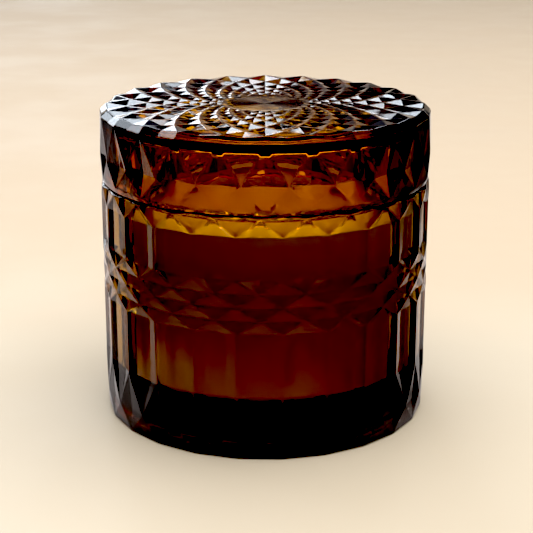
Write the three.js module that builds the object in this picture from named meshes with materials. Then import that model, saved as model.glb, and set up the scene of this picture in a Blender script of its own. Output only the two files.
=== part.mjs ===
// A lidded candle jar of pressed amber glass: a fluted jar with a band of small diamonds, a hollow
// lid with tall kites round its side and a sunburst of diamonds on top, a clear seal ring round the
// lid's plug, and the candle inside: wax, wick, wick tab and the adhesive dot under the tab.
// Millimetres, +Z up, origin at the middle of the foot. The whole glass pattern repeats 24 times.
import * as THREE from "three";

// ---- overall sizes ----
const RADIUS = 45; // outermost ridges of jar and lid
const JAR_HEIGHT = 65;
const LID_TOP = 85.15; // height of the ridges on top of the lid
const SEAM_GAP = 0.3; // clearance between pieces that rest on each other
const SECTORS = 24;
const STATIONS = 2 * SECTORS; // even stations and odd stations alternate round the axis
const STEP = (2 * Math.PI) / STATIONS;
const JAR_TURN = THREE.MathUtils.degToRad(5.7); // how far the jar's ribs stand from the lid's kites

// ---- jar ----
const FLUTE_DEPTH = 0.9;
const DIAMOND_DEPTH = 0.6;
const MOUTH_RADIUS = 40.5; // inner wall
const FLOOR_HEIGHT = 13; // inside, above the thick base
const FLOOR_FILLET = 3;
const FOOT_RADIUS = 44.6;
const BEARING_INNER_RADIUS = 34.5; // the foot is a flat ring, with a shallow hollow inside it
const PUSH_UP = 1.5;
const KITE_MIDDLE = 6.3; // widest level of the kites above the foot
const KITE_TIP = 17;
const BELT_BOTTOM = 34.2;
const BELT_STEP = 3.575; // the belt's three rows of diamonds overlap by half a diamond
const SHOULDER = 59.8; // where the flutes start to close to a point under the rim
const RIM_BEVEL = 0.4;

// ---- lid ----
const LID_BOTTOM = JAR_HEIGHT + SEAM_GAP;
const LID_BEVEL_BOTTOM = 83.3; // the sloped band round the top edge starts here
const LID_KITE_MIDDLE = 72.7;
const LID_KITE_BOTTOM = 66.6;
const LID_KITE_DEPTH = 0.7;
const LID_SCALLOP = 0.5; // how far the rim draws in between two kites
const LID_BEVEL_WIDTH = 1.9;
const LID_CEILING = 80.5;
const CAVITY_RADIUS = 35.6;
const PLUG_RADIUS = 38.6;
const PLUG_BOTTOM = 61.2;
const SEAL_GROOVE_DEPTH = 0.8;
const SEAL_LOW = 62.2;
const SEAL_HIGH = 63.8;
const SUN_RADIUS = 37.5; // outermost ring of crossings in the sunburst
const SUN_RATIO = 0.86; // each ring of crossings is this much smaller than the one outside it
const SUN_RINGS = 8;
const SUN_DEPTH = 0.65; // depth of the outermost diamonds; the others are in proportion
const DISC_DROP = 0.3; // the plain middle lies this far under the ridges

// ---- candle ----
const WAX_RADIUS = MOUTH_RADIUS - SEAM_GAP;
const WAX_TOP = 59;
const TAB_RADIUS = 7;
const TAB_THICKNESS = 0.5;
const NECK_RADIUS = 2.2;
const NECK_HEIGHT = 5;
const WICK_RADIUS = 1.2;
const WICK_TOP = 66;
const DOT_RADIUS = 6;
const DOT_THICKNESS = 1;
const ROUND = 48; // sides of the round pieces

// One ring of stations: radius and height on the even stations, then on the odd ones.
function ring(r, z, oddR = r, oddZ = z) {
  return { r: [r, oddR], z: [z, oddZ] };
}

// A closed shell through a list of rings that starts and ends on the axis. A ring with creaseFrom
// "odd" has its facets split from its odd stations to the next ring's even ones.
function shell(rings, turn = 0) {
  const inner = rings.slice(1, -1);
  const positions = [];
  const faces = [];
  const at = (i, j) => 1 + i * STATIONS + (j % STATIONS);
  positions.push(0, 0, rings[0].z[0]);
  for (const { r, z } of inner) {
    for (let j = 0; j < STATIONS; j++) {
      const angle = turn + j * STEP;
      positions.push(r[j % 2] * Math.sin(angle), -r[j % 2] * Math.cos(angle), z[j % 2]);
    }
  }
  positions.push(0, 0, rings.at(-1).z[0]);
  const last = positions.length / 3 - 1;
  for (let j = 0; j < STATIONS; j++) {
    faces.push(0, at(0, j + 1), at(0, j));
    faces.push(last, at(inner.length - 1, j), at(inner.length - 1, j + 1));
    for (let i = 0; i + 1 < inner.length; i++) {
      const fromOdd = inner[i].creaseFrom === "odd";
      const low = [at(i, j), at(i, j + 1)];
      const high = [at(i + 1, j), at(i + 1, j + 1)];
      if ((j % 2 === 1) === fromOdd) faces.push(low[0], low[1], high[1], low[0], high[1], high[0]);
      else faces.push(low[0], low[1], high[0], low[1], high[1], high[0]);
    }
  }
  const geometry = new THREE.BufferGeometry();
  geometry.setAttribute("position", new THREE.Float32BufferAttribute(positions, 3));
  geometry.setIndex(faces);
  geometry.computeVertexNormals();
  return geometry;
}

const creaseFromOdd = (oneRing) => ({ ...oneRing, creaseFrom: "odd" });

// The jar: even stations are the ribs, odd stations the middles of the flutes.
function jarGeometry() {
  const flute = RADIUS - FLUTE_DEPTH;
  const sunk = RADIUS - DIAMOND_DEPTH;
  const belt = (row) => BELT_BOTTOM + row * BELT_STEP;
  return shell(
    [
      ring(0, PUSH_UP),
      ring(BEARING_INNER_RADIUS - 2, PUSH_UP),
      ring(BEARING_INNER_RADIUS, 0),
      ring(FOOT_RADIUS, 0, FOOT_RADIUS * Math.cos(STEP), 0),
      creaseFromOdd(ring(sunk, KITE_MIDDLE, RADIUS)),
      ring(RADIUS, KITE_TIP, flute),
      ring(RADIUS, belt(0), flute),
      creaseFromOdd(ring(sunk, belt(1), RADIUS)),
      ring(RADIUS, belt(2), sunk),
      creaseFromOdd(ring(sunk, belt(3), RADIUS)),
      ring(RADIUS, belt(4), flute),
      ring(RADIUS, SHOULDER, flute),
      ring(sunk, JAR_HEIGHT - RIM_BEVEL, RADIUS),
      ring(sunk - RIM_BEVEL, JAR_HEIGHT),
      ring(MOUTH_RADIUS + RIM_BEVEL, JAR_HEIGHT),
      ring(MOUTH_RADIUS, JAR_HEIGHT - RIM_BEVEL),
      ring(MOUTH_RADIUS, FLOOR_HEIGHT + FLOOR_FILLET),
      ring(MOUTH_RADIUS - 0.3 * FLOOR_FILLET, FLOOR_HEIGHT + 0.3 * FLOOR_FILLET),
      ring(MOUTH_RADIUS - FLOOR_FILLET, FLOOR_HEIGHT),
      ring(0, FLOOR_HEIGHT),
    ],
    JAR_TURN,
  );
}

// The rings of crossings on top of the lid, from the rim inwards. Crossings alternate between odd
// and even stations, and the stations between them are the sunken middles of the diamonds.
function sunburstRings() {
  const rings = [];
  for (let i = 0; i < SUN_RINGS; i++) {
    const scale = SUN_RATIO ** i;
    const sunk = LID_TOP - SUN_DEPTH * scale;
    const r = SUN_RADIUS * scale;
    if (i % 2 === 0) rings.push(creaseFromOdd(ring(r, sunk, r, LID_TOP)));
    else rings.push(ring(r, LID_TOP, r, sunk));
  }
  return rings;
}

// The lid: even stations are the middles of the kites, odd stations the crossings between them.
function lidGeometry() {
  const rimTop = RADIUS - LID_BEVEL_WIDTH;
  return shell([
    ring(0, LID_CEILING),
    ring(CAVITY_RADIUS - 4, LID_CEILING),
    ring(CAVITY_RADIUS - 0.8, LID_CEILING - 1.2),
    ring(CAVITY_RADIUS, LID_CEILING - 4),
    ring(CAVITY_RADIUS + 0.3, PLUG_BOTTOM),
    ring(PLUG_RADIUS - 0.4, PLUG_BOTTOM),
    ring(PLUG_RADIUS, PLUG_BOTTOM + 0.4),
    ring(PLUG_RADIUS, SEAL_LOW),
    ring(PLUG_RADIUS - SEAL_GROOVE_DEPTH, SEAL_LOW),
    ring(PLUG_RADIUS - SEAL_GROOVE_DEPTH, SEAL_HIGH),
    ring(PLUG_RADIUS, SEAL_HIGH),
    ring(PLUG_RADIUS, LID_BOTTOM),
    ring(RADIUS - 1.2, LID_BOTTOM),
    ring(RADIUS - 0.2, LID_KITE_BOTTOM, RADIUS - LID_KITE_DEPTH),
    creaseFromOdd(ring(RADIUS - LID_KITE_DEPTH, LID_KITE_MIDDLE, RADIUS)),
    ring(RADIUS, LID_BEVEL_BOTTOM, RADIUS - LID_SCALLOP),
    ring(rimTop, LID_TOP, rimTop - LID_SCALLOP),
    ...sunburstRings(),
    ring(0, LID_TOP - DISC_DROP),
  ]);
}

// A round solid turned from a profile of [radius, height] points, which starts and ends on the axis
// or closes on itself.
function turned(profile) {
  const points = profile.map(([r, z]) => new THREE.Vector2(r, z));
  return new THREE.LatheGeometry(points, ROUND).rotateX(Math.PI / 2);
}

// A clear ring with two soft ribs, seated in the groove round the lid's plug.
function sealGeometry() {
  const inside = PLUG_RADIUS - SEAL_GROOVE_DEPTH + SEAM_GAP;
  const outside = MOUTH_RADIUS - SEAM_GAP;
  const low = SEAL_LOW + SEAM_GAP;
  const high = SEAL_HIGH - SEAM_GAP;
  const middle = (low + high) / 2;
  const valley = PLUG_RADIUS + 0.5;
  return turned([
    [inside, low],
    [outside, low],
    [outside, low + 0.2],
    [valley, middle],
    [outside, high - 0.2],
    [outside, high],
    [inside, high],
    [inside, low],
  ]);
}

// The wax, with a shallow dish at the top, a channel for the wick and room below for the wick tab.
function waxGeometry() {
  const bottom = FLOOR_HEIGHT + SEAM_GAP;
  const fillet = FLOOR_FILLET;
  const channel = WICK_RADIUS + SEAM_GAP;
  const tabRoom = TAB_RADIUS + SEAM_GAP;
  const tabTop = bottom + DOT_THICKNESS + TAB_THICKNESS + 2 * SEAM_GAP;
  const neckRoom = NECK_RADIUS + SEAM_GAP;
  return turned([
    [tabRoom, bottom],
    [WAX_RADIUS - fillet, bottom],
    [WAX_RADIUS - 0.3 * fillet, bottom + 0.3 * fillet],
    [WAX_RADIUS, bottom + fillet],
    [WAX_RADIUS, WAX_TOP],
    [WAX_RADIUS - 1.5, WAX_TOP - 0.8],
    [channel + 6, WAX_TOP - 1],
    [channel, WAX_TOP - 0.4],
    [channel, tabTop + NECK_HEIGHT + SEAM_GAP],
    [neckRoom, tabTop + NECK_HEIGHT + SEAM_GAP],
    [neckRoom, tabTop],
    [tabRoom, tabTop],
    [tabRoom, bottom],
  ]);
}

const DOT_BOTTOM = FLOOR_HEIGHT + SEAM_GAP;
const TAB_BOTTOM = DOT_BOTTOM + DOT_THICKNESS + SEAM_GAP;

// A pressed metal tab with a crimped neck, whose bore takes the foot of the wick.
function tabGeometry() {
  const bore = WICK_RADIUS + SEAM_GAP;
  const top = TAB_BOTTOM + TAB_THICKNESS;
  return turned([
    [0, TAB_BOTTOM],
    [TAB_RADIUS, TAB_BOTTOM],
    [TAB_RADIUS, top],
    [NECK_RADIUS + 0.6, top],
    [NECK_RADIUS, top + 0.6],
    [NECK_RADIUS - 0.2, top + NECK_HEIGHT - SEAM_GAP],
    [bore, top + NECK_HEIGHT - SEAM_GAP],
    [bore, top],
    [0, top],
  ]);
}

function wickGeometry() {
  const bottom = TAB_BOTTOM + TAB_THICKNESS + SEAM_GAP;
  return new THREE.CylinderGeometry(WICK_RADIUS * 0.8, WICK_RADIUS, WICK_TOP - bottom, 12)
    .rotateX(Math.PI / 2)
    .translate(0, 0, (WICK_TOP + bottom) / 2);
}

function dotGeometry() {
  return new THREE.CylinderGeometry(DOT_RADIUS, DOT_RADIUS, DOT_THICKNESS, ROUND)
    .rotateX(Math.PI / 2)
    .translate(0, 0, DOT_BOTTOM + DOT_THICKNESS / 2);
}

const amber = { color: 0x7a3408, roughness: 0.04, metalness: 0, transparent: true, opacity: 0.75 };

function part(name, geometry, look) {
  const mesh = new THREE.Mesh(geometry, new THREE.MeshStandardMaterial(look));
  mesh.name = name;
  return mesh;
}

const candleJar = new THREE.Group();
candleJar.add(
  part("glass_jar", jarGeometry(), amber),
  part("glass_lid", lidGeometry(), amber),
  part("seal_ring", sealGeometry(), { color: 0xe8e2d4, roughness: 0.35, metalness: 0 }),
  part("wax_fill", waxGeometry(), { color: 0xf2e3c2, roughness: 0.55, metalness: 0 }),
  part("wick", wickGeometry(), { color: 0xece6d6, roughness: 0.9, metalness: 0 }),
  part("wick_sustainer", tabGeometry(), { color: 0xb9b9b6, roughness: 0.3, metalness: 1 }),
  part("wick_sticker", dotGeometry(), { color: 0xf4f1e6, roughness: 0.8, metalness: 0 }),
);

export default candleJar;
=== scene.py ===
"""Lidded candle jar in amber pressed glass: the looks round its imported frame.

Lengths are metres. A "station" is half a sector of the pressed pattern, counted round from the front:
even stations carry the ribs, odd stations the middles of the flutes.
"""

import math

import bmesh
import bpy
from bpy.props import FloatProperty, FloatVectorProperty, IntProperty, PointerProperty
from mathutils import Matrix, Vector


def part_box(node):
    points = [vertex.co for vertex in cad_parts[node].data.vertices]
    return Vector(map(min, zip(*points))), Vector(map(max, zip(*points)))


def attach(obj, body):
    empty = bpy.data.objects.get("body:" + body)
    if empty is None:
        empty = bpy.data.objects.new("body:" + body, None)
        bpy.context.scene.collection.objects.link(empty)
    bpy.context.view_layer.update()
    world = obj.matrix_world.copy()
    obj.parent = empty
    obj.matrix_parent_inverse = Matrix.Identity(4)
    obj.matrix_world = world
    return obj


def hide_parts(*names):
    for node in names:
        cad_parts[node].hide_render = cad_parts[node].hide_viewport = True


bl_info = {
    "name": "Pressed Glass Candle Jar",
    "version": (1, 0, 0),
    "blender": (4, 5, 0),
    "location": "3D View > Sidebar > Candle Jar",
    "description": "Makes a faceted amber candle jar, its lid, wax and wick round the packed frame",
    "category": "Mesh",
}

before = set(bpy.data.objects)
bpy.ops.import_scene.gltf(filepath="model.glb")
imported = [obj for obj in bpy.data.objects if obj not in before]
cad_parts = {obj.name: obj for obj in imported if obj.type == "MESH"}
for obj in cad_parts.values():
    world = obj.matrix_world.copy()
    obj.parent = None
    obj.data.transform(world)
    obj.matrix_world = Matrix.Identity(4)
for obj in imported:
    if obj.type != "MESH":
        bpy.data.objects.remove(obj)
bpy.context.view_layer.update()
MM = 0.001

_, JAR_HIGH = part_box("glass_jar")
LID_LOW, LID_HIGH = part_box("glass_lid")
SEAL_LOW, SEAL_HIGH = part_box("seal_ring")
WAX_LOW, WAX_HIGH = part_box("wax_fill")
WICK_LOW, WICK_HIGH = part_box("wick")
TAB_LOW, TAB_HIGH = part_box("wick_sustainer")
DOT_LOW, DOT_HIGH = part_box("wick_sticker")

RADIUS = LID_HIGH.x
RIM = JAR_HIGH.z - 0.4 * MM  # where the flutes meet the rounded rim
SEAT = JAR_HIGH.z + 0.3 * MM  # where the lid would rest, clear of the rim
LID_LIP, LID_LIP_DIP = RADIUS - 0.1 * MM, RADIUS - 0.4 * MM  # lower edge of the lid at and between kites
DISC_DROP = 0.26 * MM  # depth of the lid's plain middle
ROUND = 192  # points round every turned surface
RAY_PARTS = 3  # rays in the lid's middle to each side of its star

CAMERA_PLACE = (0.0, -0.3867, 0.1599)
CAMERA_TILT = math.radians(90.0 - 17.43)
LENS_SHIFT = 0.0026
SOFTBOX_PLACE = (0.1, -0.05, 1.2)
SOFTBOX_SIZE = (1.6, 1.6)
SOFTBOX_COLOUR = (1.0, 0.95, 0.86)
AIM_HEIGHT = 0.06
FLOOR_RADIUS = 4.0
FLOOR_GAP = 0.0002  # how far the floor lies under the foot


# Settings


def length(name, description, default_mm):
    """A length setting, given in millimetres and held in metres."""
    return FloatProperty(name=name, description=description, default=default_mm * MM, min=0.0,
                         subtype="DISTANCE", unit="LENGTH", precision=5)


def tint(name, description, default):
    """A colour setting."""
    return FloatVectorProperty(name=name, description=description, default=default, size=3,
                               min=0.0, max=1.0, subtype="COLOR")


def amount(name, description, default, top=10.0):
    """A plain number setting."""
    return FloatProperty(name=name, description=description, default=default, min=0.0, max=top)


class JarPattern(bpy.types.PropertyGroup):
    """Sizes of the pattern pressed into the jar."""

    sectors: IntProperty(name="Sectors", description="Flutes round the jar", default=24, min=6)
    turn: FloatProperty(name="Turn", description="Angle of the jar's ribs from the lid's cusps",
                        default=math.radians(5.7), subtype="ANGLE", unit="ROTATION")
    flute_depth: length("Flute depth", "Depth of a flute's middle below the ribs", 0.95)
    diamond_depth: length("Diamond depth", "Depth of a belt diamond's middle", 0.7)
    ridge_width: length("Ridge width", "Width of the rounding on every ridge", 0.4)
    kite_middle: length("Foot kite middle", "Height of the widest part of the foot kites", 6.3)
    kite_tip: length("Foot kite tip", "Height at which the ribs begin", 17.0)
    belt_bottom: length("Belt bottom", "Height of the belt's lowest crossings", 34.2)
    belt_step: length("Belt step", "Height from one row of crossings to the next", 3.575)
    shoulder: length("Shoulder", "Height at which the ribs end below the rim", 59.8)
    foot_radius: length("Foot radius", "Radius of the foot at the ribs", 44.6)
    mouth_radius: length("Mouth radius", "Radius of the inside", 40.5)
    floor_height: length("Floor height", "Thickness of the base", 13.0)


class LidPattern(bpy.types.PropertyGroup):
    """Sizes of the pattern pressed into the lid."""

    sectors: IntProperty(name="Sectors", description="Kites round the lid", default=24, min=6)
    bevel_bottom: length("Bevel bottom", "Height of the kite tips, where the sloped edge begins", 83.3)
    bevel_width: length("Bevel width", "Width of the sloped edge round the top", 1.9)
    dip: length("Edge dip", "Drop of the top edge between two cusps", 0.55)
    kite_middle: length("Kite middle", "Height of the crossings round the side", 72.7)
    kite_bottom: length("Kite bottom", "Height of the lower kite tips", 66.6)
    kite_depth: length("Kite depth", "Depth of a side kite's middle", 1.4)
    sun_radius: length("Outer ring", "Radius of the outermost crossings on the top", 37.5)
    sun_ratio: FloatProperty(name="Ring ratio", description="Radius of a ring of crossings over the last",
                             default=0.86, min=0.5, max=0.95)
    sun_rings: IntProperty(name="Rings", description="Rings of crossings on the top", default=8, min=2)
    sun_depth: length("Top diamond depth", "Depth of the outermost diamonds on the top", 0.8)
    ray_slope: FloatProperty(name="Ray depth", description="Depth of the fine rays over their radius",
                             default=0.005, min=0.0, max=0.1)
    ridge_width: length("Ridge width", "Width of the rounding on the lid's ridges", 0.35)
    cavity_radius: length("Hollow radius", "Radius of the hollow under the lid", 35.6)
    plug_radius: length("Plug radius", "Radius of the collar that enters the mouth", 38.6)
    ceiling: length("Hollow height", "Height of the hollow's ceiling", 80.5)


class Finishes(bpy.types.PropertyGroup):
    """Colours and strengths of the materials."""

    glass_tint: tint("Glass tint", "What a thickness of glass lets through", (0.757, 0.585, 0.03))
    glass_density: amount("Glass density", "Absorption of the glass, per metre", 400.0, 2000.0)
    glass_waves: amount("Glass waves", "Strength of the soft waves left by the mould", 0.12, 1.0)
    wax: tint("Wax", "Colour of the wax", (0.96, 0.87, 0.66))
    # Painted shade: this colour darkens the wax's side against the glass, most of all low down.
    shaded_wax: tint("Wet wax", "Colour of the wax low down against the glass", (0.74, 0.38, 0.22))
    cotton: tint("Cotton", "Colour of the wick", (0.83, 0.78, 0.68))
    silicone: tint("Silicone", "Colour of the seal", (0.95, 0.90, 0.78))
    tin: tint("Tin", "Colour of the wick's tab", (0.70, 0.68, 0.64))
    foam: tint("Foam", "Colour of the adhesive dot", (0.78, 0.78, 0.75))


class Studio(bpy.types.PropertyGroup):
    """The stage and its light."""

    floor_near: tint("Table", "Colour of the table", (0.350, 0.315, 0.265))
    floor_far: tint("Backdrop", "Colour of the sheet behind the table", (0.350, 0.295, 0.235))
    reflected: tint("Table in the glass", "Colour of the table as the glass shows it", (0.34, 0.32, 0.33))
    back: tint("Back light", "Colour of the lit backdrop", (0.80, 0.70, 0.58))
    front: tint("Front light", "Colour of the dark room in front", (0.03, 0.027, 0.024))
    ceiling: tint("Ceiling light", "Colour of the dim room above", (0.08, 0.075, 0.08))
    world_strength: amount("Room strength", "Strength of the light from the room", 1.1)
    wall: tint("Wall light", "Colour of the pale wall to the left behind", (0.24, 0.25, 0.29))
    window: amount("Window light", "Radiance of the windows behind", 3.6, 100.0)
    window_tint: tint("Window colour", "Colour of the light from the windows", (0.84, 0.92, 1.0))
    softbox: amount("Softbox light", "Radiance of the softbox overhead", 7.4, 100.0)
    black_level: amount("Black level", "Light that is printed as black", 0.055, 1.0)
    lens: FloatProperty(name="Lens", description="Focal length of the camera in millimetres",
                        default=97.46, min=10.0, subtype="DISTANCE_CAMERA", unit="CAMERA")


SETTING_GROUPS = {
    "jar_pattern": JarPattern,
    "lid_pattern": LidPattern,
    "jar_finishes": Finishes,
    "jar_studio": Studio,
}


# Mesh tools


def divided(start, end, parts):
    """Places from start to end, both included; a place is (station, radius, height)."""
    return [tuple(a + (b - a) * i / parts for a, b in zip(start, end)) for i in range(parts + 1)]


class Skin:
    """A closed skin of panels that share the points of their outlines."""

    def __init__(self, sectors, turn=0.0):
        self.stations = 2 * sectors
        self.turn = turn
        self.points = {}
        self.faces = []
        self.round_faces = []
        self.ridges = set()

    def point(self, place):
        """The number of the point at a place, made the first time it is asked for."""
        station, radius, height = place
        angle = self.turn + station * 2 * math.pi / self.stations
        spot = (radius * math.sin(angle), -radius * math.cos(angle), height)
        key = tuple(round(c / MM, 4) for c in spot)
        if key not in self.points:
            self.points[key] = (len(self.points), spot)
        return self.points[key][0]

    def face(self, places, rounded=False):
        """Adds one facet, leaving out points that fall together; a rounded one is shaded smooth."""
        numbers = []
        for place in places:
            number = self.point(place)
            if number not in numbers:
                numbers.append(number)
        if len(numbers) > 2:
            self.faces.append(numbers)
            self.round_faces.append(rounded)

    def mark(self, places):
        """Marks the edges along a run of places as ridges."""
        numbers = [self.point(p) for p in places]
        self.ridges.update(frozenset(pair) for pair in zip(numbers, numbers[1:]) if pair[0] != pair[1])

    def pyramid(self, hub, corners, parts):
        """A sunken panel of facets from a hub to each side of an outline; parts divides each side."""
        sides = zip(corners, corners[1:] + corners[:1], parts)
        for start, end, count in sides:
            side = divided(start, end, count)
            self.face([hub] + side)
            self.mark(side)

    def flute(self, middle, radius, rows, depth):
        """A panel with a flat middle and sloped sides; rows are (height, half width in stations)."""
        half_section = [(0.25, 0.985), (0.5, 0.94), (1.0, 0.0)]
        section = [(-u, share) for u, share in reversed(half_section)] + [(0.0, 1.0)] + half_section
        grid = [[(middle + half * u, radius - depth * half * share, height) for u, share in section]
                for height, half in rows]
        for low, high in zip(grid, grid[1:]):
            for i in range(len(section) - 1):
                self.face([low[i], low[i + 1], high[i + 1], high[i]])
        self.mark([row[0] for row in grid])
        self.mark([row[-1] for row in grid])

    def turned(self, ring, profile):
        """Joins a ring of places to the circles of a (radius, height) profile, which may end on the axis."""
        stations = [place[0] for place in ring]
        for radius, height in profile:
            circle = [(s, radius, height) for s in stations]
            for i in range(len(ring)):
                j = (i + 1) % len(ring)
                self.face([ring[i], ring[j], circle[j], circle[i]], rounded=True)
            ring = circle

    def mesh(self, name):
        """The finished mesh, facing out, with flat facets, smooth turned faces and marked ridges."""
        mesh = bpy.data.meshes.new(name)
        spots = [spot for _, spot in sorted(self.points.values())]
        mesh.from_pydata(spots, [], self.faces)
        work = bmesh.new()
        work.from_mesh(mesh)
        bmesh.ops.recalc_face_normals(work, faces=work.faces)
        weight = work.edges.layers.float.new("bevel_weight_edge")
        for edge in work.edges:
            if frozenset(v.index for v in edge.verts) in self.ridges:
                edge[weight] = 1.0
            edge.smooth = edge.calc_face_angle(0.0) < math.radians(30)
        for face, rounded in zip(work.faces, self.round_faces):
            face.smooth = rounded
        work.to_mesh(mesh)
        work.free()
        return mesh


def zigzag_ring(sectors, at_even, at_odd, height):
    """Places round an edge whose radius goes straight from one value at even stations to one at odd."""
    stations = [i * 2 * sectors / ROUND for i in range(ROUND)]
    return [(s, at_even + (at_odd - at_even) * (1 - abs((s % 2) - 1)), height) for s in stations]


def arc(centre, radius, start, end, parts):
    """Points of a (radius, height) profile along an arc, angles in degrees from outwards to upwards."""
    angles = [math.radians(start + (end - start) * i / parts) for i in range(parts + 1)]
    return [(centre[0] + radius * math.cos(a), centre[1] + radius * math.sin(a)) for a in angles]


def add_piece(mesh, material, body, slot, *nodes):
    """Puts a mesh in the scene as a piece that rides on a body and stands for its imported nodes."""
    piece = bpy.data.objects.new(mesh.name, mesh)
    bpy.context.scene.collection.objects.link(piece)
    mesh.materials.append(material)
    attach(piece, body)
    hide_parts(*nodes)
    return piece


def round_ridges(piece, width):
    """Rounds the marked ridges."""
    bevel = piece.modifiers.new("Rounded ridges", "BEVEL")
    bevel.limit_method = "WEIGHT"
    bevel.width = width
    bevel.segments = 3


# Shader tools


class Nodes:
    """Builds a node tree."""

    def __init__(self, tree):
        self.tree = tree
        self.tree.nodes.clear()

    def add(self, kind, settings=None, **inputs):
        """Adds a node, sets its settings, then sets or links its inputs, named with _ for a space."""
        node = self.tree.nodes.new(kind)
        for key, value in (settings or {}).items():
            setattr(node, key, value)
        for key, value in inputs.items():
            socket = self.socket(node, key)
            if isinstance(value, bpy.types.NodeSocket):
                self.tree.links.new(value, socket)
            else:
                socket.default_value = value
        return node

    def socket(self, node, key):
        """An input of a node by its name with _ for a space, or by its number after an n."""
        if key[0] == "n" and key[1:].isdigit():
            return node.inputs[int(key[1:])]
        return node.inputs[key.replace("_", " ")]

    def ramp(self, factor, stops):
        """A colour ramp with (position, colour) stops."""
        node = self.add("ShaderNodeValToRGB", Fac=factor)
        elements = node.color_ramp.elements
        while len(elements) < len(stops):
            elements.new(1.0)
        for element, (position, colour) in zip(elements, stops):
            element.position = position
            element.color = (*colour, 1.0)
        return node.outputs["Color"]

    def span(self, value, low, high, start=0.0, end=1.0):
        """A value's place between low and high, smoothly mapped to start and end."""
        settings = {"interpolation_type": "SMOOTHSTEP"}
        node = self.add("ShaderNodeMapRange", settings, Value=value, From_Min=low, From_Max=high,
                        To_Min=start, To_Max=end)
        return node.outputs["Result"]

    def math(self, operation, *values):
        """The result of a math node."""
        inputs = {f"n{i}": value for i, value in enumerate(values)}
        return self.add("ShaderNodeMath", {"operation": operation}, **inputs).outputs["Value"]

    def blend(self, factor, first, second):
        """A mix of two colours."""
        node = self.add("ShaderNodeMix", {"data_type": "RGBA"})
        for number, value in ((0, factor), (6, first), (7, second)):
            if isinstance(value, bpy.types.NodeSocket):
                self.tree.links.new(value, node.inputs[number])
            else:
                node.inputs[number].default_value = value if number == 0 else (*value, 1.0)
        return node.outputs[2]


def shade(colour, factor):
    """A colour made darker or lighter."""
    return tuple(min(1.0, c * factor) for c in colour)


def soft_waves_group():
    """Group: the low waves and fine grain of a moulded surface, as a height and a mask."""
    name = "Moulded surface"
    if name in bpy.data.node_groups:
        return bpy.data.node_groups[name]
    group = bpy.data.node_groups.new(name, "ShaderNodeTree")
    for label, default in (("Wave Scale", 60.0), ("Grain Scale", 900.0), ("Grain Share", 0.1)):
        socket = group.interface.new_socket(label, in_out="INPUT", socket_type="NodeSocketFloat")
        socket.default_value = default
    group.interface.new_socket("Height", in_out="OUTPUT", socket_type="NodeSocketFloat")
    group.interface.new_socket("Mottle", in_out="OUTPUT", socket_type="NodeSocketFloat")
    nodes = Nodes(group)
    given = nodes.add("NodeGroupInput")
    place = nodes.add("ShaderNodeTexCoord").outputs["Object"]
    waves = nodes.add("ShaderNodeTexNoise", Vector=place, Scale=given.outputs["Wave Scale"], Detail=2.0)
    grain = nodes.add("ShaderNodeTexNoise", Vector=place, Scale=given.outputs["Grain Scale"], Detail=3.0)
    part = nodes.add("ShaderNodeMath", {"operation": "MULTIPLY"}, n0=grain.outputs["Fac"],
                     n1=given.outputs["Grain Share"])
    height = nodes.add("ShaderNodeMath", {"operation": "ADD"}, n0=waves.outputs["Fac"],
                       n1=part.outputs["Value"])
    nodes.add("NodeGroupOutput", Height=height.outputs["Value"], Mottle=waves.outputs["Fac"])
    return group


def moulded(nodes, wave_scale, grain_scale, grain_share):
    """Places the moulded surface group in a material and returns its node."""
    node = nodes.add("ShaderNodeGroup", {"node_tree": soft_waves_group()})
    node.inputs["Wave Scale"].default_value = wave_scale
    node.inputs["Grain Scale"].default_value = grain_scale
    node.inputs["Grain Share"].default_value = grain_share
    return node


def new_material(name):
    """An empty material and its node builder."""
    material = bpy.data.materials.new(name)
    material.use_nodes = True
    return material, Nodes(material.node_tree)


def bumped(nodes, height, distance, strength):
    """A normal from a height."""
    return nodes.add("ShaderNodeBump", Height=height, Distance=distance, Strength=strength).outputs["Normal"]


def amber_glass(finishes):
    """Pressed glass coloured through its thickness, with the soft waves of its mould."""
    name = "pressed_amber_glass"
    if name in bpy.data.materials:
        return bpy.data.materials[name]
    material, nodes = new_material(name)
    surface = moulded(nodes, 140.0, 900.0, 0.02)
    normal = bumped(nodes, surface.outputs["Height"], 0.0006, finishes.glass_waves)
    glass = nodes.add("ShaderNodeBsdfPrincipled", Base_Color=(1.0, 1.0, 1.0, 1.0), Metallic=0.0,
                      Roughness=0.0, IOR=1.52, Transmission_Weight=1.0, Normal=normal)
    inside = nodes.add("ShaderNodeVolumeAbsorption", Color=(*finishes.glass_tint, 1.0),
                       Density=finishes.glass_density)
    nodes.add("ShaderNodeOutputMaterial", Surface=glass.outputs["BSDF"], Volume=inside.outputs["Volume"])
    return material


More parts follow.
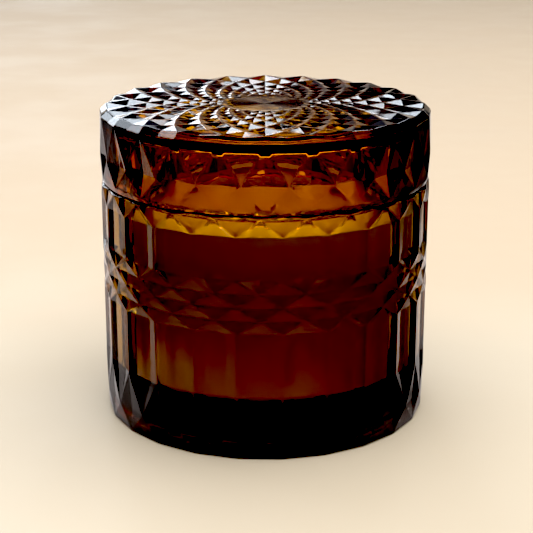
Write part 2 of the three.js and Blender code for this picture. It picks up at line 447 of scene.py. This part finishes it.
def wax_material(finishes):
    """Poured wax: cream and faintly mottled, with painted shade that darkens it where it stands deep against
    the glass.
    """
    material, nodes = new_material("poured_wax")
    surface = moulded(nodes, 45.0, 1400.0, 0.2)
    mottled_wax = nodes.ramp(surface.outputs["Mottle"], [(0.3, shade(finishes.wax, 0.93)), (0.7, finishes.wax)])
    place = nodes.add("ShaderNodeTexCoord").outputs["Object"]
    wall, deep, shallow = WAX_HIGH.x, 48.0 * MM, 59.0 * MM
    flat = nodes.add("ShaderNodeVectorMath", {"operation": "MULTIPLY"}, n0=place, n1=(1.0, 1.0, 0.0))
    reach = nodes.add("ShaderNodeVectorMath", {"operation": "LENGTH"}, n0=flat.outputs["Vector"])
    # Painted shade on the wax's side against the glass, darkening from 59 mm down to 48 mm.
    shade_at_glass = nodes.span(reach.outputs["Value"], wall - 0.6 * MM, wall)
    height = nodes.span(nodes.add("ShaderNodeSeparateXYZ", Vector=place).outputs["Z"], deep, shallow)
    side = nodes.blend(height, finishes.shaded_wax, finishes.wax)
    colour = nodes.blend(shade_at_glass, mottled_wax, side)
    rough = nodes.span(surface.outputs["Mottle"], 0.3, 0.7, 0.42, 0.55)
    normal = bumped(nodes, surface.outputs["Height"], 0.0004, 0.25)
    wax = nodes.add("ShaderNodeBsdfPrincipled", Base_Color=colour, Roughness=rough, IOR=1.44,
                    Normal=normal)
    nodes.add("ShaderNodeOutputMaterial", Surface=wax.outputs["BSDF"])
    return material


def cotton_material(finishes):
    """Braided cotton: pale yarn, with painted shade darkening the gaps between the strands."""
    material, nodes = new_material("braided_cotton")
    place = nodes.add("ShaderNodeTexCoord").outputs["Object"]
    yarn = nodes.add("ShaderNodeTexWave", {"bands_direction": "DIAGONAL"}, Vector=place, Scale=520.0,
                     Distortion=1.5, Detail=2.0)
    fibre = nodes.add("ShaderNodeTexNoise", Vector=place, Scale=5200.0, Detail=3.0)
    # Painted shade: the yarn is darker where the bump sinks into the gaps.
    colour = nodes.ramp(yarn.outputs["Fac"], [(0.1, shade(finishes.cotton, 0.72)), (0.6, finishes.cotton)])
    height = nodes.add("ShaderNodeMath", {"operation": "ADD"}, n0=yarn.outputs["Fac"],
                       n1=fibre.outputs["Fac"])
    normal = bumped(nodes, height.outputs["Value"], 0.0002, 0.5)
    cotton = nodes.add("ShaderNodeBsdfPrincipled", Base_Color=colour, Roughness=0.85, Normal=normal)
    nodes.add("ShaderNodeOutputMaterial", Surface=cotton.outputs["BSDF"])
    return material


def silicone_material(finishes):
    """Soft clear silicone: lets light through, with a faintly uneven skin."""
    material, nodes = new_material("milky_silicone")
    surface = moulded(nodes, 90.0, 2600.0, 0.35)
    colour = nodes.ramp(surface.outputs["Mottle"], [(0.35, shade(finishes.silicone, 0.9)),
                                                    (0.65, finishes.silicone)])
    normal = bumped(nodes, surface.outputs["Height"], 0.0002, 0.3)
    silicone = nodes.add("ShaderNodeBsdfPrincipled", Base_Color=colour, Roughness=0.12, IOR=1.41,
                         Transmission_Weight=1.0, Normal=normal)
    nodes.add("ShaderNodeOutputMaterial", Surface=silicone.outputs["BSDF"])
    return material


def tin_material(finishes):
    """Tinned steel sheet with a fine grain and dull patches."""
    material, nodes = new_material("tinned_sheet")
    surface = moulded(nodes, 260.0, 3000.0, 0.3)
    colour = nodes.ramp(surface.outputs["Mottle"], [(0.3, shade(finishes.tin, 0.82)), (0.7, finishes.tin)])
    rough = nodes.span(surface.outputs["Mottle"], 0.3, 0.7, 0.24, 0.42)
    normal = bumped(nodes, surface.outputs["Height"], 0.0001, 0.3)
    tin = nodes.add("ShaderNodeBsdfPrincipled", Base_Color=colour, Metallic=1.0, Roughness=rough,
                    Normal=normal)
    nodes.add("ShaderNodeOutputMaterial", Surface=tin.outputs["BSDF"])
    return material


def foam_material(finishes):
    """Closed-cell adhesive foam."""
    material, nodes = new_material("adhesive_foam")
    place = nodes.add("ShaderNodeTexCoord").outputs["Object"]
    cells = nodes.add("ShaderNodeTexVoronoi", Vector=place, Scale=3200.0)
    # Painted shade: the foam is darker in the pits of its cells, where the bump sinks.
    colour = nodes.ramp(cells.outputs["Distance"], [(0.0, shade(finishes.foam, 0.8)), (0.5, finishes.foam)])
    normal = bumped(nodes, cells.outputs["Distance"], 0.0001, 0.6)
    foam = nodes.add("ShaderNodeBsdfPrincipled", Base_Color=colour, Roughness=0.9, Normal=normal)
    nodes.add("ShaderNodeOutputMaterial", Surface=foam.outputs["BSDF"])
    return material


# The glass jar


def chord_radius(radius, offset, half_span):
    """Radius of a straight foot edge at an angle from its middle."""
    return radius * math.cos(half_span) / math.cos(offset)


def jar_sector(skin, pattern, rib):
    """One sector of the jar's outside: the rib at an even station and the flute after it."""
    radius, middle = RADIUS, rib + 1
    station = math.pi / pattern.sectors
    sunk = radius - pattern.diamond_depth
    depth = pattern.flute_depth
    levels = [pattern.belt_bottom + pattern.belt_step * i for i in range(5)]

    foot = [(rib + i / 4, chord_radius(pattern.foot_radius, (i / 4 - 1) * station, station), 0.0)
            for i in range(9)]
    skin.face(foot + [(middle, radius, pattern.kite_middle)])
    skin.mark(foot)

    side = (middle, radius, pattern.kite_middle)
    other = (rib - 1, radius, pattern.kite_middle)
    tip = (rib, radius, pattern.kite_tip)
    skin.pyramid((rib, sunk, pattern.kite_middle), [foot[0], side, tip, other], (1, 6, 6, 1))

    rise = [(pattern.kite_middle + (pattern.kite_tip - pattern.kite_middle) * i / 6, i / 6)
            for i in range(7)]
    fall = [(levels[0] + pattern.belt_step * i / 3, 1 - i / 3) for i in range(4)]
    skin.flute(middle, radius, rise + fall, depth)

    for row, (hub, below, above) in enumerate(((rib, 3, 1), (middle, 1, 1), (rib, 1, 3))):
        corners = [(hub, radius, levels[row]), (hub + 1, radius, levels[row + 1]),
                   (hub, radius, levels[row + 2]), (hub - 1, radius, levels[row + 1])]
        skin.pyramid((hub, sunk, levels[row + 1]), corners, (below, above, above, below))

    rise = [(levels[3] + pattern.belt_step * i / 3, i / 3) for i in range(4)]
    fall = [(pattern.shoulder + (RIM - pattern.shoulder) * i / 4, 1 - i / 4) for i in range(5)]
    skin.flute(middle, radius, rise + fall, depth)

    base = (rib, radius, pattern.shoulder)
    dip = (rib, sunk, RIM)
    for corner in ((middle, radius, RIM), (rib - 1, radius, RIM)):
        top = divided(corner, dip, 4)
        skin.face(divided(base, corner, 4) + top[1:])
        skin.mark(top)


def jar_mesh(pattern):
    """The whole jar: the pressed outside, the rim, the smooth inside and the hollowed foot."""
    skin = Skin(pattern.sectors, pattern.turn)
    station = math.pi / pattern.sectors
    for sector in range(pattern.sectors):
        jar_sector(skin, pattern, 2 * sector)

    # Over the rim, down the inside and across the floor.
    high, inner, floor = JAR_HIGH.z, pattern.mouth_radius, pattern.floor_height
    mouth_round, corner, dished = 0.5 * MM, 3 * MM, 0.2 * MM
    inside = [(44.3 * MM, high - 0.12 * MM), (43.9 * MM, high)]
    inside += arc((inner + mouth_round, high - mouth_round), mouth_round, 90, 180, 4)
    inside += [(inner, floor + 30 * MM)]
    inside += arc((inner - corner, floor + corner), corner, 0, -90, 8)
    inside += [(25 * MM, floor - 0.15 * MM), (12 * MM, floor - dished), (0.0, floor - dished)]
    skin.turned(zigzag_ring(pattern.sectors, RADIUS - pattern.diamond_depth, RADIUS, RIM), inside)

    # Under the foot: a flat ring, then a shallow hollow.
    stations = [i * skin.stations / ROUND for i in range(ROUND)]
    around = [(s, chord_radius(pattern.foot_radius, ((s % 2) - 1) * station, station), 0.0)
              for s in stations]
    ring_inside, lead_in = 34.5 * MM, 1.9 * MM
    hollow = [(40.5 * MM, 0.0), (ring_inside, 0.0)]
    hollow += arc((32.6 * MM, 0.0), lead_in, 12, 52, 4)
    hollow += [(31.5 * MM, 1.5 * MM), (16 * MM, 1.7 * MM), (0.0, 1.75 * MM)]
    skin.turned(around, hollow)
    return skin.mesh("glass_jar_body")


class CANDLEJAR_OT_glass_jar(bpy.types.Operator):
    """Makes the pressed glass jar"""

    bl_idname = "candlejar.glass_jar"
    bl_label = "Glass jar"

    def execute(self, context):
        """Builds the jar and rounds its ridges."""
        pattern = context.scene.jar_pattern
        glass = amber_glass(context.scene.jar_finishes)
        piece = add_piece(jar_mesh(pattern), glass, "jar", "amber_glass", "glass_jar")
        round_ridges(piece, pattern.ridge_width)
        return {"FINISHED"}


# The glass lid


def lid_sector(skin, pattern, even):
    """One sector of the lid's side and top, round the cusp at an even station."""
    odd, after = even + 1, even + 2
    sunk = RADIUS - pattern.kite_depth
    shoulder, shoulder_dip = RADIUS, RADIUS - 0.5 * MM
    brim, brim_dip = RADIUS - pattern.bevel_width, RADIUS - pattern.bevel_width - 0.5 * MM
    low, mid, high, top = pattern.kite_bottom, pattern.kite_middle, pattern.bevel_bottom, LID_HIGH.z

    # The side: a kite, and the triangles above and below the crossing after it.
    corners = [(even, LID_LIP, low), (odd, RADIUS, mid), (even, shoulder, high), (even - 1, RADIUS, mid)]
    skin.pyramid((even, sunk, mid), corners, (1, 1, 1, 1))
    crossing = (odd, RADIUS, mid)
    for near in (even, after):
        skin.face([crossing, (near, shoulder, high), (odd, shoulder_dip, high)])
        skin.mark([(near, shoulder, high), (odd, shoulder_dip, high)])
        edge = divided((near, LID_LIP, low), (odd, LID_LIP_DIP, low), 4)
        skin.face([crossing] + edge)
        skin.mark(edge)

    # The sloped edge up to the brim.
    brim_low = (odd, brim_dip, top - pattern.dip)
    for near in (even, after):
        cusp = (near, brim, top)
        skin.face([(near, shoulder, high), (odd, shoulder_dip, high), brim_low, cusp])
        skin.mark([cusp, brim_low])

    # The top: half a diamond at the brim, then rings of diamonds that shrink towards the middle.
    radii = [pattern.sun_radius * pattern.sun_ratio ** i for i in range(-1, pattern.sun_rings + 1)]
    radii[0] = brim
    node = (odd, radii[1], top)
    for near in (even, after):
        skin.face([node, (near, brim, top), brim_low])
        skin.mark([node, (near, brim, top)])
    for i in range(pattern.sun_rings):
        at = even + (i % 2)
        hub = (at, radii[i + 1], top - pattern.sun_depth * pattern.sun_ratio ** i)
        corners = [(at, radii[i], top), (at + 1, radii[i + 1], top), (at, radii[i + 2], top),
                   (at - 1, radii[i + 1], top)]
        inner = RAY_PARTS if i == pattern.sun_rings - 1 else 1
        skin.pyramid(hub, corners, (1, inner, inner, 1))
    return radii


def lid_rays(skin, pattern, radii):
    """The sunk middle of the top, with fine rays that run in from the last ring of crossings."""
    top = LID_HIGH.z
    tip, node = radii[-1], radii[-2]
    tip_parity = (pattern.sun_rings - 1) % 2
    outline = []
    for s in range(skin.stations):
        here, there = (tip, node) if s % 2 == tip_parity else (node, tip)
        outline += divided((s, here, top), (s + 1, there, top), RAY_PARTS)[:-1]
    rings = [outline]
    for share, drop in ((0.93, 0.14), (0.8, 0.2), (0.55, 0.23), (0.3, 0.25), (0.1, 0.26)):
        radius = tip * share
        ring = []
        for i, (s, _, _) in enumerate(outline):
            ray = pattern.ray_slope * radius * (i % 2)
            ring.append((s, radius, top - drop * MM - ray))
        rings.append(ring)
    for outer, inner in zip(rings, rings[1:]):
        for i in range(len(outline)):
            j = (i + 1) % len(outline)
            skin.face([outer[i], outer[j], inner[j], inner[i]])
    for i in range(len(outline)):
        j = (i + 1) % len(outline)
        skin.face([rings[-1][i], rings[-1][j], (0, 0.0, top - DISC_DROP)])


def lid_mesh(pattern):
    """The whole lid: the pressed outside, and the collar, seal groove and hollow underneath."""
    skin = Skin(pattern.sectors)
    for sector in range(pattern.sectors):
        radii = lid_sector(skin, pattern, 2 * sector)
    lid_rays(skin, pattern, radii)

    # In from the lower edge, down the collar past the seal's groove, and up into the hollow.
    collar, groove = pattern.plug_radius, pattern.plug_radius - 0.8 * MM
    groove_low, groove_high = 62.2 * MM, 63.8 * MM
    bottom, hollow, ceiling = LID_LOW.z, pattern.cavity_radius, pattern.ceiling
    neck, edge_round, corner = 0.3 * MM, 0.4 * MM, 1.0 * MM
    profile = [(44.45 * MM, SEAT + 0.12 * MM), (44.3 * MM, SEAT), (collar + neck, SEAT)]
    profile += [(collar, SEAT - neck), (collar, groove_high), (groove, groove_high)]
    profile += [(groove, groove_low), (collar, groove_low), (collar, bottom + 2 * edge_round)]
    profile += arc((hollow + edge_round, bottom + edge_round), edge_round, -72, -180, 5)
    spring = ceiling - 0.9 * MM
    profile += [(hollow, spring - corner)]
    profile += arc((hollow - corner, spring - corner), corner, 0, 90, 6)
    profile += [(26 * MM, ceiling - 0.4 * MM), (14 * MM, ceiling), (0.0, ceiling + 0.1 * MM)]
    skin.turned(zigzag_ring(pattern.sectors, LID_LIP, LID_LIP_DIP, pattern.kite_bottom), profile)
    return skin.mesh("glass_lid_body")


class CANDLEJAR_OT_glass_lid(bpy.types.Operator):
    """Makes the pressed glass lid"""

    bl_idname = "candlejar.glass_lid"
    bl_label = "Glass lid"

    def execute(self, context):
        """Builds the lid and rounds its ridges."""
        pattern = context.scene.lid_pattern
        glass = amber_glass(context.scene.jar_finishes)
        piece = add_piece(lid_mesh(pattern), glass, "lid", "amber_glass", "glass_lid")
        round_ridges(piece, pattern.ridge_width)
        return {"FINISHED"}


# The seal, the wax and the wick


def lathe(name, profile, around, shift=None):
    """A closed turned mesh from a (radius, height) profile; shift moves each point by its angle."""
    mesh = bpy.data.meshes.new(name)
    work = bmesh.new()
    rings = []
    for radius, height in profile:
        if radius < 1e-7:
            rings.append([work.verts.new((0.0, 0.0, height))])
            continue
        ring = []
        for i in range(around):
            angle = 2 * math.pi * i / around
            r, z = shift(radius, height, angle) if shift else (radius, height)
            ring.append(work.verts.new((r * math.sin(angle), -r * math.cos(angle), z)))
        rings.append(ring)
    pairs = list(zip(rings, rings[1:]))
    if len(rings[0]) > 1:
        pairs.append((rings[-1], rings[0]))
    for low, high in pairs:
        for i in range(around):
            j = (i + 1) % around
            corners = [low[i % len(low)], low[j % len(low)], high[j % len(high)], high[i % len(high)]]
            work.faces.new(list(dict.fromkeys(corners)))
    bmesh.ops.recalc_face_normals(work, faces=work.faces)
    for face in work.faces:
        face.smooth = True
    for edge in work.edges:
        edge.smooth = edge.calc_face_angle(0.0) < math.radians(40)
    work.to_mesh(mesh)
    work.free()
    return mesh


class CANDLEJAR_OT_seal_ring(bpy.types.Operator):
    """Makes the soft seal ring on the lid's collar"""

    bl_idname = "candlejar.seal_ring"
    bl_label = "Seal ring"

    def execute(self, context):
        """Builds a ring with a rounded lip, seated in the collar's groove."""
        inner, outer, chamfer, flat = 38.0 * MM, SEAL_HIGH.x, 0.1 * MM, 1.2 * MM
        low, high = SEAL_LOW.z, SEAL_HIGH.z
        middle, half = (low + high) / 2, (high - low) / 2
        lip = half * 0.6
        profile = [(inner, high - chamfer), (inner, low + chamfer), (inner + chamfer, low)]
        profile += [(outer - flat, low)]
        profile += arc((outer - lip, middle), lip, -80, 80, 8)
        profile += [(outer - flat, high), (inner + chamfer, high)]
        mesh = lathe("silicone_seal", profile, ROUND)
        add_piece(mesh, silicone_material(context.scene.jar_finishes), "seal", "clear_silicone", "seal_ring")
        return {"FINISHED"}


class CANDLEJAR_OT_wax(bpy.types.Operator):
    """Makes the poured wax"""

    bl_idname = "candlejar.wax"
    bl_label = "Wax"

    def execute(self, context):
        """Builds the wax with a raised edge at the glass and a shallow dish round the wick."""
        radius, low, high = WAX_HIGH.x, WAX_LOW.z, WAX_HIGH.z
        hole = WICK_HIGH.x + 0.3 * MM
        dish, dome, wick_rise = 0.9 * MM, 0.25 * MM, 0.5 * MM
        edge_reach, wick_reach = 0.9 * MM, 1.2 * MM

        def level(r):
            edge = math.exp((r - radius) / edge_reach)
            wick = math.exp((hole - r) / wick_reach)
            sag = dome * (1 + math.cos(r / radius * math.pi))
            return high - dish * (1 - edge) + wick_rise * wick - sag

        def ripple(r, z, angle):
            if z < high - 4 * MM or r > radius - 0.2 * MM or r < hole + 0.2 * MM:
                return r, z
            wave = 0.10 * MM * math.sin(3 * angle + 90 * r) + 0.06 * MM * math.sin(7 * angle - 300 * r)
            return r, z + wave * min(1.0, (radius - r) / (6 * MM))

        # The wax closes round the tab and the wick, and keeps clear of them.
        neck, recess, over_tab, corner = 2.5 * MM, 7.3 * MM, TAB_LOW.z + 0.8 * MM, 3 * MM
        profile = [(hole, TAB_HIGH.z + 1.0 * MM), (neck, TAB_HIGH.z + 0.3 * MM), (neck, over_tab)]
        profile += [(recess, over_tab), (recess, low)]
        profile += arc((radius - corner, low + corner), corner, -90, 0, 8)
        profile += [(radius, low + (high - low) * i / 4) for i in (1, 2, 3)]
        steps = [radius - gap * MM for gap in (0.05, 0.4, 1, 2, 4)]
        steps += [radius * share for share in (0.8, 0.7, 0.6, 0.5, 0.4, 0.3, 0.22, 0.15, 0.1, 0.07, 0.05)]
        profile += [(radius, level(radius) - 0.3 * MM)]
        profile += [(r, level(r)) for r in steps if r > hole] + [(hole, level(hole))]
        mesh = lathe("poured_wax", profile, ROUND, ripple)
        add_piece(mesh, wax_material(context.scene.jar_finishes), "jar", "wax", "wax_fill")
        return {"FINISHED"}


class CANDLEJAR_OT_wick(bpy.types.Operator):
    """Makes the braided wick, its metal tab and the adhesive dot"""

    bl_idname = "candlejar.wick"
    bl_label = "Wick, tab and dot"

    def execute(self, context):
        """Builds the three small pieces on the jar's axis."""
        finishes = context.scene.jar_finishes
        low, high, radius = WICK_LOW.z, WICK_HIGH.z, WICK_HIGH.x
        rows = 160
        turns = (high - low) / (5.0 * MM)

        def braid(r, z, angle):
            along = 2 * math.pi * turns * (z - low) / (high - low)
            strand = abs(math.sin(1.5 * angle + along)) + abs(math.sin(1.5 * angle - along))
            return r * (0.86 + 0.07 * strand), z

        body = [(radius, low + (high - low) * i / rows) for i in range(rows + 1)]
        cut_end = [(radius * 0.72, high), (0.0, high)]
        wick = lathe("braided_wick", [(0.0, low)] + body[:-1] + cut_end, 24, braid)
        add_piece(wick, cotton_material(finishes), "jar", "cotton", "wick")

        base, top, brim = TAB_LOW.z, TAB_HIGH.z, TAB_HIGH.x
        bore, sheet = WICK_HIGH.x + 0.15 * MM, 0.3 * MM
        tab = [(bore, top), (bore, base + 0.15 * MM), (bore + 0.15 * MM, base), (brim - 0.1 * MM, base)]
        tab += [(brim, base + 0.1 * MM), (brim, base + sheet + 0.1 * MM), (brim - 0.2 * MM, base + 0.5 * MM)]
        tab += [(5.2 * MM, base + 0.42 * MM), (4.6 * MM, base + 0.5 * MM), (4.0 * MM, base + 0.42 * MM)]
        tab += [(2.6 * MM, base + 0.46 * MM), (2.2 * MM, base + 0.9 * MM), (2.0 * MM, base + 2.4 * MM)]
        tab += [(1.75 * MM, base + 2.9 * MM), (2.0 * MM, base + 3.4 * MM), (1.9 * MM, top - 0.1 * MM)]
        tab += [(1.75 * MM, top)]

        def pinched(r, z, angle):
            fold = 0.02 * math.cos(6 * angle) if z > base + 1 * MM else 0
            return r * (1 + fold), z

        crimp = lathe("pressed_tab", tab, 72, pinched)
        add_piece(crimp, tin_material(finishes), "jar", "tinned_steel", "wick_sustainer")

        under, over, edge = DOT_LOW.z, DOT_HIGH.z, DOT_HIGH.x
        bulge = (over - under) / 2
        dot = [(0.0, under)] + arc((edge - bulge, under + bulge), bulge, -90, 90, 8) + [(0.0, over)]
        add_piece(lathe("foam_dot", dot, 96), foam_material(finishes), "jar", "foam_adhesive", "wick_sticker")
        return {"FINISHED"}


# The stage


def floor_material(studio):
    """A pale matt table that passes softly into the backdrop, and shows dimmer in the glass."""
    material, nodes = new_material("pale_floor")
    place = nodes.add("ShaderNodeTexCoord").outputs["Object"]
    axes = nodes.add("ShaderNodeSeparateXYZ", Vector=place)
    mottle = nodes.add("ShaderNodeTexNoise", Vector=place, Scale=14.0, Detail=3.0)
    behind = nodes.span(axes.outputs["Y"], 0.03, 0.12)
    lit = nodes.blend(behind, studio.floor_near, studio.floor_far)
    distance = nodes.add("ShaderNodeVectorMath", {"operation": "LENGTH"}, Vector=place).outputs["Value"]
    fade = nodes.span(distance, 0.95, 2.2)
    lit = nodes.blend(fade, lit, (0.0, 0.0, 0.0))
    # In the glass the table ends in a dim room beside and in front of the jar.
    right = nodes.math("MULTIPLY", axes.outputs["X"], 1.25)
    across = nodes.math("MAXIMUM", right, nodes.math("MULTIPLY", axes.outputs["X"], -0.65))
    width = nodes.math("MULTIPLY_ADD", axes.outputs["Y"], 1.4, 0.05)
    width = nodes.math("MAXIMUM", nodes.math("MINIMUM", width, 0.13), 0.045)
    beside = nodes.span(nodes.math("DIVIDE", across, width), 1.1, 1.5)
    before = nodes.span(axes.outputs["Y"], -0.13, -0.06, 1.0, 0.0)
    seen = nodes.add("ShaderNodeLightPath").outputs["Is Camera Ray"]
    dim = nodes.math("MULTIPLY", nodes.math("MAXIMUM", beside, before), nodes.math("SUBTRACT", 1.0, seen))
    colour = nodes.blend(dim, nodes.blend(seen, studio.reflected, lit), shade(studio.reflected, 0.2))
    rough = nodes.span(mottle.outputs["Fac"], 0.3, 0.7, 0.55, 0.7)
    glow = nodes.math("MULTIPLY", nodes.math("MULTIPLY", fade, seen), studio.world_strength)
    floor = nodes.add("ShaderNodeBsdfPrincipled", Base_Color=colour, Roughness=rough, Specular_IOR_Level=0.3,
                      Emission_Color=(*studio.back, 1.0), Emission_Strength=glow)
    nodes.add("ShaderNodeOutputMaterial", Surface=floor.outputs["BSDF"])
    return material


def window_panes(nodes, turn, rise, left, right, low, high, columns, rows):
    """A mask of the panes of a window that spans the given degrees round and above the jar."""
    masks = []
    for angle, start, end, count in ((turn, left, right, columns), (rise, low, high, rows)):
        place = nodes.math("MULTIPLY", nodes.math("SUBTRACT", angle, start), count / (end - start))
        inside = nodes.math("COMPARE", place, count / 2, count / 2)
        pane = nodes.math("PINGPONG", place, 0.5)
        masks.append(nodes.math("MULTIPLY", inside, nodes.span(pane, 0.10, 0.16)))
    return nodes.math("MULTIPLY", *masks)


def studio_world(studio):
    """Soft light: a lit backdrop low behind, a dark room in front, a dim ceiling and three windows."""
    world = bpy.data.worlds.new("studio_light")
    bpy.context.scene.world = world
    world.use_nodes = True
    nodes = Nodes(world.node_tree)
    way = nodes.add("ShaderNodeSeparateXYZ", Vector=nodes.add("ShaderNodeTexCoord").outputs["Generated"])
    behind = nodes.span(way.outputs["Y"], 0.0, 0.5)
    overhead = nodes.span(way.outputs["Z"], 0.02, 0.25)
    around = nodes.blend(behind, studio.front, studio.back)
    turn = nodes.math("MULTIPLY", nodes.math("ARCTAN2", way.outputs["X"], way.outputs["Y"]), 180 / math.pi)
    rise = nodes.math("MULTIPLY", nodes.math("ARCSINE", way.outputs["Z"]), 180 / math.pi)
    wall = nodes.math("MULTIPLY", nodes.span(turn, -100.0, -80.0), nodes.span(turn, -12.0, 16.0, 1.0, 0.0))
    wall = nodes.math("MULTIPLY", wall, nodes.span(rise, 46.0, 60.0, 1.0, 0.0))
    room = nodes.blend(overhead, around, nodes.blend(wall, studio.ceiling, studio.wall))
    main = window_panes(nodes, turn, rise, -58.0, -3.0, 2.0, 48.0, 4, 3)
    side = window_panes(nodes, turn, rise, 7.0, 18.0, 18.0, 44.0, 1, 2)
    opposite = nodes.math("SUBTRACT", 180.0, nodes.math("ABSOLUTE", turn))
    front = nodes.math("MULTIPLY", window_panes(nodes, opposite, rise, -30.0, 30.0, 8.0, 44.0, 2, 2), 0.22)
    panes = nodes.math("MAXIMUM", nodes.math("MAXIMUM", main, side), front)
    panes = nodes.math("MULTIPLY", panes, studio.window)
    window = nodes.add("ShaderNodeVectorMath", {"operation": "SCALE"}, Vector=studio.window_tint, Scale=panes)
    lit = nodes.add("ShaderNodeVectorMath", {"operation": "ADD"}, n0=room, n1=window.outputs["Vector"])
    seen = nodes.add("ShaderNodeLightPath").outputs["Is Camera Ray"]
    sky = nodes.blend(seen, lit.outputs["Vector"], studio.back)
    light = nodes.add("ShaderNodeBackground", Color=sky, Strength=studio.world_strength)
    nodes.add("ShaderNodeOutputWorld", Surface=light.outputs["Background"])


def add_softbox(name, place, size, colour, radiance):
    """A rectangular soft light aimed at the jar, with a given radiance."""
    light = bpy.data.lights.new(name, "AREA")
    light.shape = "RECTANGLE"
    light.size, light.size_y = size
    light.color = colour
    light.energy = radiance * math.pi * size[0] * size[1]
    lamp = bpy.data.objects.new(name, light)
    bpy.context.scene.collection.objects.link(lamp)
    lamp.location = place
    aim = Vector((0.0, 0.0, AIM_HEIGHT)) - Vector(place)
    lamp.rotation_euler = aim.to_track_quat("-Z", "Y").to_euler()
    lamp.visible_camera = False
    return lamp


class CANDLEJAR_OT_stage(bpy.types.Operator):
    """Makes the floor, the light and the camera"""

    bl_idname = "candlejar.stage"
    bl_label = "Stage"

    def execute(self, context):
        """Builds the stage and sets the scene's camera."""
        studio = context.scene.jar_studio
        mesh = bpy.data.meshes.new("studio_floor")
        work = bmesh.new()
        bmesh.ops.create_circle(work, cap_ends=True, radius=FLOOR_RADIUS, segments=96)
        work.to_mesh(mesh)
        work.free()
        floor = bpy.data.objects.new("studio_floor", mesh)
        context.scene.collection.objects.link(floor)
        floor.location.z = -FLOOR_GAP
        mesh.materials.append(floor_material(studio))

        studio_world(studio)
        top = add_softbox("top_softbox", SOFTBOX_PLACE, SOFTBOX_SIZE, SOFTBOX_COLOUR, studio.softbox)
        top.visible_glossy = False

        lens = bpy.data.cameras.new("front_camera")
        lens.lens = studio.lens
        lens.sensor_width = 36.0
        lens.shift_x = LENS_SHIFT
        lens.clip_start, lens.clip_end = 0.01, 20.0
        camera = bpy.data.objects.new("front_camera", lens)
        context.scene.collection.objects.link(camera)
        camera.location = CAMERA_PLACE
        camera.rotation_euler = (CAMERA_TILT, 0.0, 0.0)
        context.scene.camera = camera

        view = context.scene.view_settings
        view.view_transform = "Standard"
        view.look = "None"
        view.use_curve_mapping = True
        curve = view.curve_mapping
        curve.black_level = (studio.black_level,) * 3
        curve.update()
        return {"FINISHED"}


class CANDLEJAR_PT_panel(bpy.types.Panel):
    """Lists the operators that make the jar"""

    bl_label = "Candle Jar"
    bl_idname = "CANDLEJAR_PT_panel"
    bl_space_type = "VIEW_3D"
    bl_region_type = "UI"
    bl_category = "Candle Jar"

    def draw(self, context):
        """Draws one button for each operator."""
        for operator in OPERATORS:
            self.layout.operator(operator.bl_idname)


OPERATORS = (
    CANDLEJAR_OT_stage,
    CANDLEJAR_OT_glass_jar,
    CANDLEJAR_OT_glass_lid,
    CANDLEJAR_OT_seal_ring,
    CANDLEJAR_OT_wax,
    CANDLEJAR_OT_wick,
)


def register():
    """Registers the settings, the operators and the panel."""
    for name, group in SETTING_GROUPS.items():
        bpy.utils.register_class(group)
        setattr(bpy.types.Scene, name, PointerProperty(type=group))
    for operator in OPERATORS:
        bpy.utils.register_class(operator)
    bpy.utils.register_class(CANDLEJAR_PT_panel)


def unregister():
    """Takes the classes away again."""
    bpy.utils.unregister_class(CANDLEJAR_PT_panel)
    for operator in reversed(OPERATORS):
        bpy.utils.unregister_class(operator)
    for name, group in SETTING_GROUPS.items():
        delattr(bpy.types.Scene, name)
        bpy.utils.unregister_class(group)


def main():
    """Makes the stage and every piece."""
    register()
    bpy.ops.candlejar.stage()
    bpy.ops.candlejar.glass_jar()
    bpy.ops.candlejar.glass_lid()
    bpy.ops.candlejar.seal_ring()
    bpy.ops.candlejar.wax()
    bpy.ops.candlejar.wick()
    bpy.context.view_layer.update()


if __name__ == "__main__":
    main()
